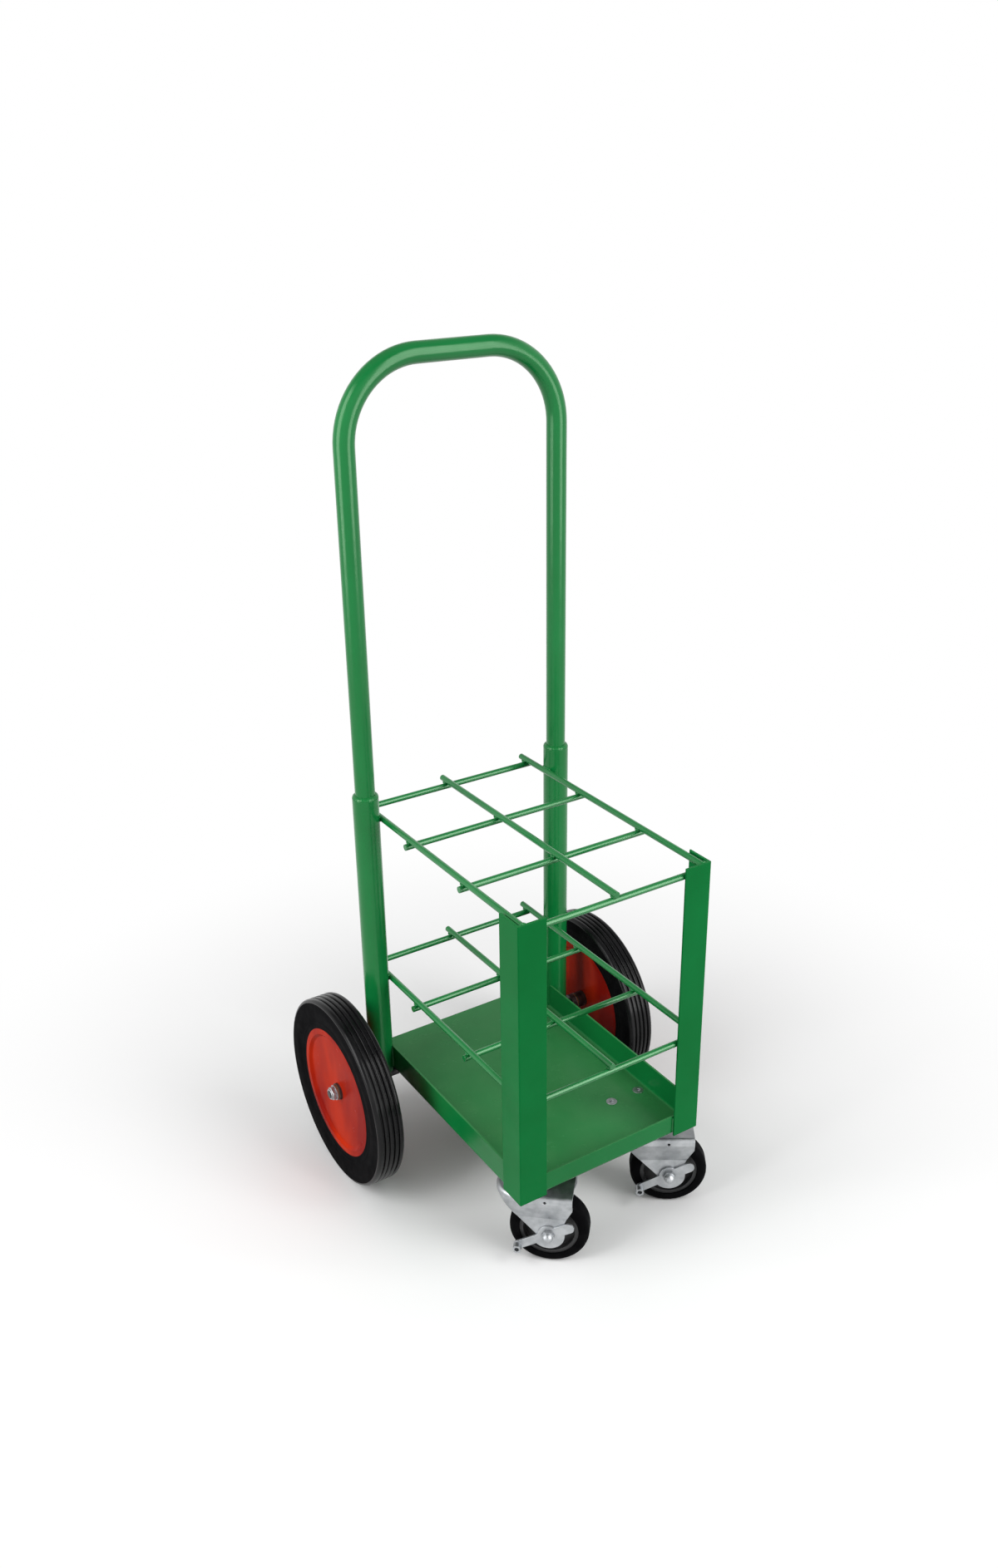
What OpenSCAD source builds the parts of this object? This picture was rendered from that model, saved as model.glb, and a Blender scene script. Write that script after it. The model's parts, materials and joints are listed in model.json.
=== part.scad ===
// Gas cylinder trolley: a low tray under a grid of square cells, a tube handle plugged into
// two rear sockets, two big wheels on a fixed axle and two braked swivel casters in front.
// Front is -Y, up is +Z, and the origin is on the floor under the middle of the outline.

/* [Cells] */
// Distance between the long rods, side to side
cell_w = 127; // [121:1:135]
// Distance between the cross rods of the rear and middle rows
cell_l = 128; // [121:1:135]
// Distance between the last two cross rods at the front
front_cell_l = 119; // [117:1:135]
// Diameter of the grid rods
rod_d = 8; // [7:0.5:9]
// Height of the upper long rods
upper_grid_z = 520; // [480:5:540]
// Height of the lower long rods
lower_grid_z = 284; // [250:5:320]
// How far the rear cross rods lie behind the sockets
rear_rod = 47; // [40:1:55]
// How far a long rod stands out behind the rear cross rod
rod_tail = 11; // [6:1:14]
// How far a cross rod stands out past the outer long rods
rod_overhang = 4; // [1:0.5:6]

/* [Frame] */
// Sheet thickness of the tray
tray_t = 2.5; // [2:0.25:3]
// Height of the tray's side lips
side_lip_h = 39; // [30:1:45]
// Height of the tray's front lip
front_lip_h = 29; // [22:1:40]
// Outside radius of the tray's bends
tray_bend_r = 6; // [4:0.5:8]
// Leg width of the angle posts
post_w = 38; // [32:1:42]
// Thickness of the angle posts
post_t = 3.2; // [3:0.2:5]
// Gap between the outer long rods and the plane of the tray's sides
side_clear = 2; // [1:0.25:3]
// Outside diameter of the rear sockets
socket_d = 33.4; // [32:0.2:36]
// How far the sockets are let into the tray's sides
socket_sink = 4.5; // [4:0.25:5]
// Height of the socket mouths
socket_top_z = 552; // [545:1:570]
// Slip between the handle's legs and the bores of the sockets
socket_slip = 1.2; // [0.6:0.1:1.6]

/* [Handle] */
// Outside diameter of the handle tube
handle_d = 25.4; // [22:0.2:26]
// Wall of the handle tube
handle_t = 2; // [1.5:0.25:3]
// Height of the grip's centre line
handle_z = 1081; // [950:1:1150]
// Centre-line radius of the two bends
handle_bend_r = 97; // [70:1:120]
// How deep each leg goes into its socket
handle_depth = 180; // [120:5:240]

/* [Big wheels] */
// Tyre diameter
wheel_d = 262; // [252:1:268]
// Tyre width
wheel_w = 38; // [36:1:44]
// Distance from the middle of the trolley to the middle of a tyre
wheel_x = 203; // [201:1:212]
// Axle diameter
axle_d = 14; // [12:0.5:16]
// Diameter of the threaded ends of the axle
thread_d = 10; // [8:1:11]
// How far the axle lies ahead of the sockets
axle_ahead = 5; // [0:1:12]
// Radius of the red disc
disc_r = 90; // [84:1:92]
// Length of the hub outside the middle of the tyre
hub_out = 16; // [15:0.5:17]
// Length of the hub inside the middle of the tyre
hub_in = 26; // [22:1:28]
// Radius of the hub
hub_r = 11.5; // [11:0.5:14]
// Thickness of the axle washers
washer_t = 1.8; // [1.5:0.1:3]
// Height of the axle nuts
nut_h = 7; // [6:0.5:10]
// Width of the axle collars
collar_w = 7; // [5:0.5:8]
// Length of each flanged bush inside a hub
bush_l = 14; // [10:1:18]

/* [Casters] */
// Caster wheel diameter
caster_d = 101.6; // [98:0.2:104]
// Caster wheel width
caster_w = 29; // [27:0.5:32]
// Distance from the swivel axis to the wheel's axle
caster_trail = 36.5; // [34:0.5:38]
// Distance from the middle of the trolley to a swivel axis
caster_x = 95; // [90:1:98]
// How far the swivel axes lie behind the front face of the tray
caster_back = 58; // [54:1:80]
// Turn of the left caster as it stands
left_turn = -42; // [-180:1:180]
// Turn of the right caster as it stands
right_turn = -34; // [-180:1:180]
// Thickness of the caster's pressed sheet
fork_t = 3; // [2.5:0.25:3.5]
// Radius of the fork's round crown
crown_r = 31; // [29:0.5:33]
// Reach of the fork's tail behind the wheel's axle
fork_reach = 31; // [26:1:34]
// Width of the caster's top plate
plate_w = 60; // [58:1:64]
// Length of the caster's top plate
plate_l = 92; // [90:1:96]
// Count of balls in each swivel race
ball_count = 14; // [10:1:16]
// Diameter of the swivel balls
ball_d = 6; // [5:0.5:6.5]
// Spacing of the plate's bolts across
bolt_dx = 44; // [42:1:46]
// Spacing of the plate's bolts lengthwise
bolt_dy = 74; // [72:1:76]
// Length of the brake lever's long arm
lever_long = 44; // [40:1:48]
// Length of the brake lever's short arm
lever_short = 29; // [26:1:30]
// Gap between pieces that move past each other
gap = 0.3; // [0.3:0.05:0.5]

/* [Hidden] */
// Round pieces are true cylinders, so the count only has to be high enough to say so
$fn = 64;
// Radial clearance of a shaft that turns in a bore
running = 0.05;
// Overshoot of a cutting shape past the face it cuts
over = 1;

rod_r = rod_d / 2;
axle_r = axle_d / 2;
wheel_r = wheel_d / 2;
side_x = cell_w + rod_r + side_clear;
socket_x = side_x + socket_d / 2 - socket_sink;
socket_bore = handle_d + socket_slip;

// Places along Y are counted from the sockets first, then shifted to the middle of the outline
first_rod = rear_rod - cell_l;
second_rod = first_rod - cell_l;
front_rod = second_rod - front_cell_l;
tray_front = front_rod - rod_r;
tray_rear = rear_rod + rod_r + over;
post_front = tray_front - post_t;
wheel_rear = wheel_r - axle_ahead;
cross_rods_y = [rear_rod, first_rod, second_rod, front_rod];
long_rods_x = [-cell_w, 0, cell_w];

tray_z = wheel_r + axle_r;
floor_z = tray_z + tray_t;
heel_r = 1.5;
toe_r = 2;
post_top = upper_grid_z + rod_r;
handle_low_z = socket_top_z - handle_depth;

disc_t = 2;
disc_lip = 1.5;
bush_t = 2;
bush_flange_t = 1.5;
bush_flange_r = hub_r - 1;
collar_r = axle_r + 5;
washer_r = hub_r - 1;
thread_r = thread_d / 2;
nut_r = thread_r + 4.8;
nut_neck_r = thread_r + 2.4;
nut_neck_h = 2;
axle_shoulder = wheel_x + hub_out + gap;
axle_end = axle_shoulder + washer_t + nut_h + over;

plate_t = 3;
bolt_r = 4;
bolt_clear = 0.3;
bolt_sink = 3.4;
bolt_nut_t = 6;
caster_r = caster_d / 2;
caster_y = tray_front + caster_back;
tread_round_r = 8;
tread_t = 13;

plate_z = tray_z - plate_t;
side_play = 2.2;
fork_in = caster_w / 2 + side_play;
fork_out = fork_in + fork_t;
fork_top = caster_d + 15;
fork_tail = caster_trail + fork_reach;
crown_low = fork_top - 10;

// The foremost points of a caster's tread and of its fork's tail when the caster is turned
function tread_front(turn) = caster_trail * sin(turn) - (caster_r - tread_round_r) * abs(sin(turn))
    - (caster_w / 2 - tread_round_r) * abs(cos(turn)) - tread_round_r;
function tail_front(turn) = fork_tail * sin(turn) - crown_r * abs(cos(turn));
function caster_front(turn) = caster_y + min(tread_front(turn), tail_front(turn));

front_y = min(post_front, caster_front(left_turn), caster_front(right_turn));
shift_y = -(front_y + wheel_rear) / 2;

leg_top = crown_low - 32;
side_hole_r = 2;
side_hole_x = caster_trail - 3;
side_hole_z = crown_low + 2.5;
race_r = 28;
race_gap = 9;
race_top = plate_z - race_gap;
ball_ring_r = 18;
ball_z = race_top + gap / 2;
kingpin_r = 6;
kingpin_head_r = 11;
kingpin_head_h = 4;
bolt_shank_r = 4.8;
caster_bush_r = 7.5;
cap_nut_r = 8.5;
eye_r = 13;
lever_t = 2.5;
lever_in = fork_out + gap;
lever_out = lever_in + lever_t;
lever_w = 12;
lever_end_r = 7;
lever_fan_r = 21;
lever_long_angle = 209;
lever_short_angle = 27;
curl_r = 5.5;
curl_l = 11;

paint = [0.05, 0.36, 0.19];
red = [0.80, 0.12, 0.08];
zinc = [0.72, 0.73, 0.74];
black = [0.06, 0.06, 0.065];
grey = [0.12, 0.12, 0.13];
bronze = [0.55, 0.40, 0.20];

// Shared shapes

module centred() {
    translate([0, shift_y, 0]) children();
}

// A round bar along X, centred
module bar_x(d, l) {
    rotate([0, 90, 0]) cylinder(d = d, h = l, center = true);
}

// A round bar along Y from one place to another
module bar_y(d, from, to) {
    translate([0, from, 0]) rotate([-90, 0, 0]) cylinder(d = d, h = to - from);
}

// A flat section in radius and height, spun about the X axis
module spun_x() {
    rotate([0, 90, 0]) rotate_extrude() children();
}

// A flat section kept or turned over about the X axis
module flipped(s) {
    if (s > 0) children();
    else mirror([0, 1]) children();
}

module ring_x(outer, inner, w) {
    difference() {
        bar_x(2 * outer, w);
        bar_x(2 * inner, w + 2 * over);
    }
}

// Frame

// A block with two rounded lower edges; the tray's channel is a large one less a small one
module channel(w, h, r) {
    translate([-w, r]) square([2 * w, h - r]);
    translate([-w + r, 0]) square([2 * (w - r), r + over]);
    for (s = [-1, 1]) translate([s * (w - r), r]) circle(r = r);
}

module tray_channel_section() {
    difference() {
        channel(side_x, side_lip_h, tray_bend_r);
        translate([0, tray_t]) channel(side_x - tray_t, side_lip_h, tray_bend_r - tray_t);
    }
}

module tray_front_section() {
    difference() {
        union() {
            translate([0, tray_bend_r]) square([tray_t, front_lip_h - tray_bend_r]);
            translate([tray_bend_r, tray_bend_r]) circle(r = tray_bend_r);
            translate([tray_bend_r, 0]) square([tray_bend_r, tray_t]);
        }
        translate([tray_bend_r, tray_bend_r]) circle(r = tray_bend_r - tray_t);
        translate([tray_bend_r, tray_t]) square([2 * tray_bend_r, 2 * tray_bend_r]);
        translate([tray_t, tray_bend_r]) square([2 * tray_bend_r, 2 * tray_bend_r]);
    }
}

module caster_bolt_places() {
    for (sx = [-1, 1], dx = [-1, 1], dy = [-1, 1])
        translate([sx * caster_x + dx * bolt_dx / 2, caster_y + dy * bolt_dy / 2, 0]) children();
}

// A hole through floor and plate, opened out to a cone at the top for a flush head
module bolt_hole() {
    hole_r = bolt_r + bolt_clear;
    deep = bolt_sink + over;
    translate([0, 0, plate_z - over]) cylinder(r = hole_r, h = floor_z - plate_z + 2 * over);
    translate([0, 0, floor_z - bolt_sink]) cylinder(r1 = hole_r, r2 = hole_r + deep, h = deep);
}

// The room that the two sockets take out of the tray's sides and the outer rods
module socket_space() {
    for (s = [-1, 1]) translate([s * socket_x, 0, tray_z - over])
        cylinder(d = socket_d, h = socket_top_z - tray_z + over);
}

module tray() {
    channel_front = tray_front + tray_bend_r;
    front_half = side_x - tray_bend_r;
    color(paint) centred() difference() {
        union() {
            translate([0, tray_rear, tray_z]) rotate([90, 0, 0])
                linear_extrude(tray_rear - channel_front) tray_channel_section();
            translate([-front_half, tray_front, tray_z]) rotate([90, 0, 90])
                linear_extrude(2 * front_half) tray_front_section();
        }
        caster_bolt_places() bolt_hole();
        socket_space();
    }
}

module both_legs() {
    children();
    mirror([1, -1]) children();
}

// A rolled angle: rounded heel and toes, and a fillet in the root
module angle_section() {
    both_legs() {
        translate([heel_r, 0]) square([post_w - toe_r - heel_r, post_t]);
        translate([heel_r, 0]) square([post_w - heel_r, post_t - toe_r]);
        intersection() {
            translate([post_w - toe_r, post_t - toe_r]) circle(r = toe_r);
            square([post_w, post_t]);
        }
    }
    translate([heel_r, heel_r]) circle(r = heel_r);
    difference() {
        translate([heel_r, heel_r]) square(2 * post_t - heel_r);
        translate([2 * post_t, 2 * post_t]) circle(r = post_t);
    }
}

module front_left_post() {
    color(paint) centred() translate([-side_x - post_t, post_front, tray_z])
        linear_extrude(post_top - tray_z) angle_section();
}

module front_right_post() {
    color(paint) centred() translate([side_x + post_t, post_front, tray_z]) rotate([0, 0, 90])
        linear_extrude(post_top - tray_z) angle_section();
}

module socket(side) {
    color(paint) centred() translate([side * socket_x, 0, tray_z]) difference() {
        cylinder(d = socket_d, h = socket_top_z - tray_z);
        translate([0, 0, -over]) cylinder(d = socket_bore, h = socket_top_z - tray_z + 2 * over);
    }
}

module left_socket() {
    socket(-1);
}

module right_socket() {
    socket(1);
}

// The bead that joins each handle leg to its socket's mouth
module socket_welds() {
    bead = (socket_d - handle_d) / 2;
    color(paint) centred() for (s = [-1, 1])
        translate([s * socket_x, 0, socket_top_z]) rotate_extrude()
            translate([handle_d / 2, 0]) intersection() {
                circle(r = bead);
                square(bead);
            }
}

// The handle's path as a solid bar, so the tube is the thick bar less the thin one
module handle_bar(d, low_z) {
    leg_top = handle_z - handle_bend_r;
    for (turn = [0, 180]) rotate([0, 0, turn]) {
        translate([socket_x, 0, low_z]) cylinder(d = d, h = leg_top - low_z);
        translate([socket_x - handle_bend_r, 0, leg_top]) rotate([90, 0, 0])
            rotate_extrude(angle = 90) translate([handle_bend_r, 0]) circle(d = d);
    }
    translate([0, 0, handle_z]) bar_x(d, 2 * (socket_x - handle_bend_r));
}

module handle() {
    color(paint) centred() difference() {
        handle_bar(handle_d, handle_low_z);
        handle_bar(handle_d - 2 * handle_t, handle_low_z - over);
    }
}

module long_rods(z) {
    color(paint) centred() difference() {
        for (x = long_rods_x) translate([x, 0, z]) bar_y(rod_d, tray_front, rear_rod + rod_tail);
        socket_space();
    }
}

// The front cross rod stops between the posts, the others stand out past the long rods
module cross_rods(z) {
    color(paint) centred() for (y = cross_rods_y) {
        half = y == front_rod ? side_x - post_t : cell_w + rod_r + rod_overhang;
        translate([0, y, z - rod_d]) bar_x(rod_d, 2 * half);
    }
}

module upper_long_rods() {
    long_rods(upper_grid_z);
}

module upper_cross_rods() {
    cross_rods(upper_grid_z);
}

module lower_long_rods() {
    long_rods(lower_grid_z);
}

module lower_cross_rods() {
    cross_rods(lower_grid_z);
}

// Axle and what holds the wheels on it

module at_axle() {
    centred() translate([0, -axle_ahead, wheel_r]) children();
}

// A bar turned down at both ends for the nuts
module axle() {
    color(grey) at_axle() {
        bar_x(axle_d, 2 * axle_shoulder);
        bar_x(thread_d, 2 * axle_end);
    }
}

// Beads along both sides of the axle under the tray
module axle_weld_section() {
    bead_r = axle_r * 0.4;
    difference() {
        intersection() {
            translate([axle_r - bead_r, axle_r]) circle(r = bead_r);
            square(axle_r);
        }
        circle(r = axle_r);
    }
}

module axle_welds() {
    half = side_x - tray_bend_r;
    color(paint) at_axle() for (turn = [0, 180]) rotate([0, 0, turn])
        translate([-half, 0, 0]) rotate([90, 0, 90]) linear_extrude(2 * half) axle_weld_section();
}

module at_both_wheels() {
    for (turn = [0, 180]) at_axle() rotate([0, 0, turn]) translate([wheel_x, 0, 0]) children();
}

module axle_collars() {
    place = -hub_in - gap - washer_t - collar_w / 2;
    color(grey) at_both_wheels() translate([place, 0, 0]) ring_x(collar_r, axle_r, collar_w);
}

module axle_washers() {
    color(zinc) at_both_wheels() {
        translate([hub_out + gap + washer_t / 2, 0, 0]) ring_x(washer_r, thread_r, washer_t);
        translate([-hub_in - gap - washer_t / 2, 0, 0]) ring_x(washer_r, axle_r, washer_t);
    }
}

module axle_nuts() {
    color(zinc) at_both_wheels() translate([hub_out + gap + washer_t, 0, 0]) rotate([0, 90, 0])
        difference() {
            union() {
                cylinder(r = nut_r, h = nut_h - nut_neck_h, $fn = 6);
                cylinder(r = nut_neck_r, h = nut_h);
            }
            translate([0, 0, -over]) cylinder(r = thread_r, h = nut_h + 2 * over);
        }
}

// Big wheels, drawn about their own middle with the outer face towards +X

module tyre_section() {
    half = wheel_w / 2;
    bead_half = hub_out + disc_lip - disc_t / 2;
    bead_rise = 4;
    shoulder = 4.5;
    sidewall = 16;
    groove = 2.6;
    rib = 7;
    wide_r = wheel_r - sidewall;
    flank = [[disc_r, bead_half], [disc_r + bead_rise, bead_half],
        [wide_r, half], [wheel_r - shoulder, half]];
    difference() {
        union() {
            for (s = [-1, 1]) flipped(s) polygon(concat(flank, [[wheel_r - shoulder, 0], [disc_r, 0]]));
            translate([wide_r, shoulder - half]) square([sidewall, wheel_w - 2 * shoulder]);
            for (s = [-1, 1]) translate([wheel_r - shoulder, s * (half - shoulder)]) circle(r = shoulder);
        }
        for (step = [-1.5:1:1.5]) translate([wheel_r - groove, step * rib - groove / 2])
            square([groove + over, groove]);
    }
}

module tyre() {
    color(black) spun_x() tyre_section();
}

// A pressed half of the rim: a boss on the hub, a dished face and a flange under the tyre
module half_disc() {
    face = hub_out - 5;
    lip = hub_out + disc_lip - disc_t / 2;
    edge = hub_out - 3;
    boss_r = hub_r + 8;
    edge_r = disc_r - 12;
    lip_r = disc_r - 8;
    front = [[hub_r, face], [boss_r, face], [edge_r, edge], [lip_r, lip]];
    back = [for (i = [len(front) - 1:-1:0]) front[i] - [0, disc_t]];
    rim = [[disc_r, lip], [disc_r, 0], [disc_r - disc_t, 0], [disc_r - disc_t, lip - disc_t]];
    color(red) spun_x() polygon(concat(front, rim, back));
}

// A tube that the discs sit on, shorter than the bushes by their two flanges
module hub() {
    l = hub_out + hub_in - 2 * bush_flange_t;
    color(grey) translate([(hub_out - hub_in) / 2, 0, 0]) ring_x(hub_r, axle_r + bush_t, l);
}

// Two flanged bushes pressed into the hub's ends, running on the axle
module wheel_bushes() {
    bore = axle_r + running;
    color(bronze) for (end = [[hub_out, -1], [-hub_in, 1]]) {
        translate([end[0] + end[1] * bush_l / 2, 0, 0]) ring_x(axle_r + bush_t, bore, bush_l);
        translate([end[0] + end[1] * bush_flange_t / 2, 0, 0]) ring_x(bush_flange_r, bore, bush_flange_t);
    }
}

module at_left_wheel() {
    at_axle() rotate([0, 0, 180]) translate([wheel_x, 0, 0]) children();
}

module at_right_wheel() {
    at_axle() translate([wheel_x, 0, 0]) children();
}

module left_tyre() {
    at_left_wheel() tyre();
}

module left_outer_disc() {
    at_left_wheel() half_disc();
}

module left_inner_disc() {
    at_left_wheel() rotate([0, 0, 180]) half_disc();
}

module left_hub() {
    at_left_wheel() hub();
}

module left_wheel_bushes() {
    at_left_wheel() wheel_bushes();
}

module right_tyre() {
    at_right_wheel() tyre();
}

module right_outer_disc() {
    at_right_wheel() half_disc();
}

module right_inner_disc() {
    at_right_wheel() rotate([0, 0, 180]) half_disc();
}

module right_hub() {
    at_right_wheel() hub();
}

module right_wheel_bushes() {
    at_right_wheel() wheel_bushes();
}

// Casters, drawn about the swivel axis with the wheel trailing towards +X and the brake towards -Y

module at_left_caster(turn = 0) {
    centred() translate([-caster_x, caster_y, 0]) rotate([0, 0, turn]) children();
}

module at_right_caster(turn = 0) {
    centred() translate([caster_x, caster_y, 0]) rotate([0, 0, turn]) children();
}

// The round groove that the swivel balls run in, half in each race
module ball_groove(clear) {
    translate([0, 0, ball_z]) rotate_extrude() translate([ball_ring_r, 0]) circle(r = ball_d / 2 + clear);
}

// The fixed plate with its pressed upper race
module caster_plate() {
    color(zinc) difference() {
        union() {
            translate([-plate_w / 2, -plate_l / 2, plate_z]) cube([plate_w, plate_l, plate_t]);
            translate([0, 0, race_top + gap])
                cylinder(r1 = race_r - 5, r2 = race_r - 2, h = plate_z - race_top - gap);
        }
        translate([0, 0, race_top - over]) cylinder(r = kingpin_r, h = plate_z);
        ball_groove(gap);
        for (dx = [-1, 1], dy = [-1, 1]) translate([dx * bolt_dx / 2, dy * bolt_dy / 2, 0]) bolt_hole();
    }
}

module left_caster_plate() {
    at_left_caster() caster_plate();
}

module right_caster_plate() {
    at_right_caster() caster_plate();
}

module kingpin() {
    head_z = fork_top - fork_t - gap - kingpin_head_h;
    color(zinc) translate([0, 0, head_z]) {
        cylinder(r = kingpin_r, h = tray_z - head_z);
        cylinder(r = kingpin_head_r, h = kingpin_head_h);
    }
}

module left_kingpin() {
    at_left_caster() kingpin();
}

module right_kingpin() {
    at_right_caster() kingpin();
}

// Bolts through the tray floor, their heads flush with it, and nuts under the plate
module caster_bolts() {
    low_z = plate_z - bolt_nut_t - over;
    color(zinc) centred() caster_bolt_places() {
        translate([0, 0, low_z]) cylinder(r = bolt_r, h = floor_z - low_z);
        translate([0, 0, floor_z - bolt_sink])
            cylinder(r1 = bolt_r, r2 = bolt_r + bolt_sink, h = bolt_sink);
        translate([0, 0, plate_z - bolt_nut_t]) cylinder(r = bolt_r * 1.8, h = bolt_nut_t, $fn = 6);
    }
}

// Half of the bell's outline: crown, flared shoulder and straight leg
module bell_half(crown, leg, top, low) {
    bend = 5;
    translate([crown - bend, top - bend]) circle(r = bend);
    polygon([[0, top], [crown - bend, top], [crown, top - bend], [crown, crown_low],
        [leg, leg_top], [leg, low], [0, low]]);
}

module bell_section() {
    difference() {
        bell_half(crown_r, fork_out, fork_top, 0);
        bell_half(crown_r - fork_t, fork_in, fork_top - fork_t, -over);
    }
}

// The leg seen from the side: wide under the crown and drawn in to the eye
module fork_side() {
    eye = [caster_trail, caster_r];
    inside = eye_r - 0.5;
    tail_low = crown_low - 10;
    translate(eye) circle(r = eye_r);
    polygon([[-crown_r - over, fork_top + over], [-crown_r - over, crown_low],
        eye + inside * [cos(222), sin(222)], eye + inside * [cos(-32), sin(-32)],
        [fork_tail, tail_low], [fork_tail, fork_top + over]]);
}

// The bell: round in front of the swivel axis, straight behind it, cut to the side outline
module fork_bell() {
    intersection() {
        union() {
            rotate([0, 0, 90]) rotate_extrude(angle = 180) bell_section();
            for (s = [0, 1]) mirror([0, s, 0]) rotate([90, 0, 90]) linear_extrude(fork_tail) bell_section();
        }
        translate([0, 2 * crown_r, 0]) rotate([90, 0, 0]) linear_extrude(4 * crown_r) fork_side();
    }
}

module fork() {
    color(zinc) difference() {
        union() {
            fork_bell();
            translate([0, 0, fork_top]) cylinder(r1 = race_r - 6, r2 = race_r - 3, h = race_top - fork_top);
        }
        translate([0, 0, fork_top - fork_t - over]) cylinder(r = kingpin_r + running, h = race_top);
        translate([caster_trail, 0, caster_r]) rotate([90, 0, 0])
            cylinder(r = bolt_shank_r, h = 2 * crown_r, center = true);
        translate([side_hole_x, 0, side_hole_z]) rotate([90, 0, 0])
            cylinder(r = side_hole_r, h = crown_r + over);
        ball_groove(running);
    }
}

// A ring of loose balls between the two races
module swivel_balls() {
    color(zinc) for (i = [0:ball_count - 1]) rotate([0, 0, i * 360 / ball_count])
        translate([ball_ring_r, 0, ball_z]) sphere(d = ball_d);
}

module left_swivel_balls() {
    at_left_caster(left_turn) swivel_balls();
}

module right_swivel_balls() {
    at_right_caster(right_turn) swivel_balls();
}

// The sleeve over the wheel bolt that the two legs clamp and the wheel runs on
module caster_bush() {
    color(zinc) at_caster_wheel() difference() {
        cylinder(r = caster_bush_r, h = 2 * fork_in, center = true);
        cylinder(r = bolt_shank_r, h = 2 * fork_out, center = true);
    }
}

module left_caster_bush() {
    at_left_caster(left_turn) caster_bush();
}

module right_caster_bush() {
    at_right_caster(right_turn) caster_bush();
}

module left_fork() {
    at_left_caster(left_turn) fork();
}

module right_fork() {
    at_right_caster(right_turn) fork();
}

// The wheel bolt: a hex head on the far leg, a domed nut outside the lever
module caster_axle() {
    nut_y = lever_out + gap;
    nut_t = 4;
    head_t = 6;
    dome_r = cap_nut_r - 1.5;
    color(zinc) translate([caster_trail, 0, caster_r]) rotate([90, 0, 0]) {
        translate([0, 0, -fork_out - head_t])
            cylinder(r = bolt_shank_r, h = fork_out + head_t + nut_y + nut_t);
        translate([0, 0, -fork_out - head_t]) cylinder(r = cap_nut_r, h = head_t, $fn = 6);
        translate([0, 0, nut_y]) cylinder(r = cap_nut_r, h = nut_t, $fn = 6);
        translate([0, 0, nut_y + nut_t]) intersection() {
            sphere(r = dome_r);
            cylinder(r = cap_nut_r, h = cap_nut_r);
        }
    }
}

module left_caster_axle() {
    at_left_caster(left_turn) caster_axle();
}

module right_caster_axle() {
    at_right_caster(right_turn) caster_axle();
}

module at_caster_wheel() {
    translate([caster_trail, 0, caster_r]) rotate([90, 0, 0]) children();
}

module tread_section() {
    half = caster_w / 2;
    core_r = caster_r - tread_t;
    difference() {
        union() {
            translate([core_r, -half]) square([tread_t - tread_round_r, caster_w]);
            translate([core_r, -half + tread_round_r]) square([tread_t, caster_w - 2 * tread_round_r]);
            for (s = [-1, 1]) translate([caster_r - tread_round_r, s * (half - tread_round_r)])
                circle(r = tread_round_r);
        }
        translate([0, -caster_w]) square([core_r, 2 * caster_w]);
    }
}

module caster_tread() {
    color(black) at_caster_wheel() rotate_extrude() tread_section();
}

module left_caster_tread() {
    at_left_caster(left_turn) caster_tread();
}

module right_caster_tread() {
    at_right_caster(right_turn) caster_tread();
}

// The moulded core: rim, thin web and a hub that fills the fork
module caster_core() {
    core_r = caster_r - tread_t;
    rim_half = caster_w / 2 - 2;
    rim_t = 5;
    web_half = 4;
    hub_half = fork_in - gap;
    bore_r = caster_bush_r + running;
    color(grey) at_caster_wheel() rotate_extrude() {
        translate([core_r - rim_t, -rim_half]) square([rim_t, 2 * rim_half]);
        translate([bore_r, -web_half]) square([core_r - bore_r - rim_t / 2, 2 * web_half]);
        translate([bore_r, -hub_half]) square([eye_r - bore_r, 2 * hub_half]);
    }
}

module left_caster_core() {
    at_left_caster(left_turn) caster_core();
}

module right_caster_core() {
    at_right_caster(right_turn) caster_core();
}

// The lever's flat pattern: a long arm down to the foot curl, a short arm back and a fan between
module lever_plan() {
    steps = 4;
    turn = (360 + lever_short_angle - lever_long_angle) / steps;
    fan = [for (i = [0:steps]) let (a = lever_long_angle + i * turn) 2 * lever_fan_r * [cos(a), sin(a)]];
    difference() {
        union() {
            circle(r = eye_r);
            intersection() {
                circle(r = lever_fan_r);
                polygon(concat([[0, 0]], fan));
            }
            rotate(lever_long_angle) translate([0, -lever_w / 2]) square([lever_long, lever_w]);
            rotate(lever_short_angle) {
                translate([0, -lever_end_r]) square([lever_short, 2 * lever_end_r]);
                translate([lever_short, 0]) circle(r = lever_end_r);
            }
        }
        circle(r = bolt_shank_r + running);
    }
}

module brake_lever() {
    color(zinc) translate([caster_trail, -lever_in, caster_r]) rotate([90, 0, 0]) {
        linear_extrude(lever_t) lever_plan();
        rotate(lever_long_angle) translate([lever_long, 0, 0]) difference() {
            cylinder(r = curl_r, h = curl_l);
            translate([0, 0, lever_t]) cylinder(r = curl_r - lever_t, h = curl_l);
        }
    }
}

module left_brake_lever() {
    at_left_caster(left_turn) brake_lever();
}

module right_brake_lever() {
    at_right_caster(right_turn) brake_lever();
}

tray();
front_left_post();
front_right_post();
left_socket();
right_socket();
socket_welds();
handle();
upper_long_rods();
upper_cross_rods();
lower_long_rods();
lower_cross_rods();
axle();
axle_welds();
axle_collars();
axle_washers();
axle_nuts();
left_tyre();
left_outer_disc();
left_inner_disc();
left_hub();
left_wheel_bushes();
right_tyre();
right_outer_disc();
right_inner_disc();
right_hub();
right_wheel_bushes();
left_caster_plate();
right_caster_plate();
left_kingpin();
right_kingpin();
caster_bolts();
left_fork();
left_swivel_balls();
right_fork();
right_swivel_balls();
left_caster_axle();
left_caster_bush();
right_caster_axle();
right_caster_bush();
left_caster_tread();
right_caster_tread();
left_caster_core();
right_caster_core();
left_brake_lever();
right_brake_lever();
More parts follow.
